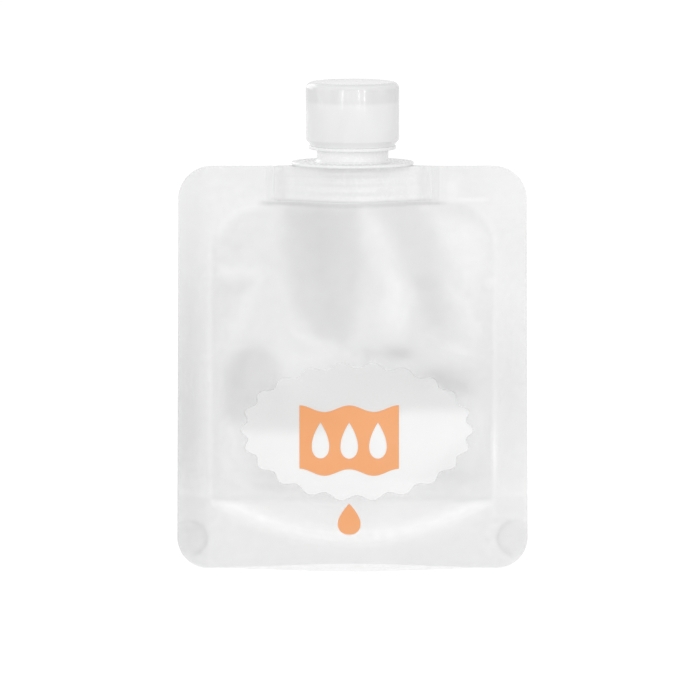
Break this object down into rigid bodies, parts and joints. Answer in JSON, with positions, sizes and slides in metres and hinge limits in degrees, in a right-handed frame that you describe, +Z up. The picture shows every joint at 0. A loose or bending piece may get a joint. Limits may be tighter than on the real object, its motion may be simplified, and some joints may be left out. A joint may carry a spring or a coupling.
{
  "type": "collapsible bottle",
  "caption": "Stand-up pouch of clear film with a folded base, a welded spout and a screw cap; it folds flat as it empties.",
  "frame": {"origin": "centre of the base on the surface that the pouch stands on, below the spout's axis", "axes": "+Z up along the spout's axis, +X along the pouch's width, the printed face towards -Y"},
  "size_m": [0.0954, 0.027, 0.1328],
  "materials": {
    "clear_film": "clear glossy laminated film, a little milky",
    "gusset_film": "clear glossy laminated film",
    "spout_plastic": "translucent natural moulded plastic",
    "insert_plastic": "translucent natural moulded plastic",
    "cap_plastic": "translucent natural moulded plastic, satin",
    "liner_foam": "white foamed sealing disc",
    "white_print": "opaque white print",
    "orange_print": "opaque orange print"
  },
  "bodies": {
    "root": {"spout": "spout_plastic", "pour_insert": "insert_plastic", "bottom_gusset": "gusset_film"},
    "front_panel": {"front_film": "clear_film", "front_label": "white_print", "label_motif": "orange_print", "small_drop": "orange_print"},
    "back_panel": {"back_film": "clear_film"},
    "liner": {"cap_liner": "liner_foam"},
    "cap": {"screw_cap": "cap_plastic"}
  },
  "joints": [
    {"name": "cap_lift", "type": "slide", "parent": "root", "child": "liner", "axis": [0, 0, 1], "range_m": [0, 0.0181]},
    {"name": "cap_turn", "type": "hinge", "parent": "liner", "child": "cap", "pos_m": [0, 0, 0.1158], "axis": [0, 0, 1], "range_deg": [0, 1080]},
    {"name": "front_fold", "type": "hinge", "parent": "root", "child": "front_panel", "pos_m": [0, 0, 0.1006], "axis": [1, 0, 0], "range_deg": [0, 2.9], "deforming": ["front_film", "bottom_gusset"]},
    {"name": "back_fold", "type": "hinge", "parent": "root", "child": "back_panel", "pos_m": [0, 0, 0.1006], "axis": [1, 0, 0], "range_deg": [-2.95, 0], "deforming": ["back_film"]}
  ],
  "couplings": [
    {"joint": "cap_lift", "follows": "cap_turn", "m_per_rad": 0.00095493},
    {"joint": "back_fold", "follows": "front_fold", "ratio": -1}
  ]
}
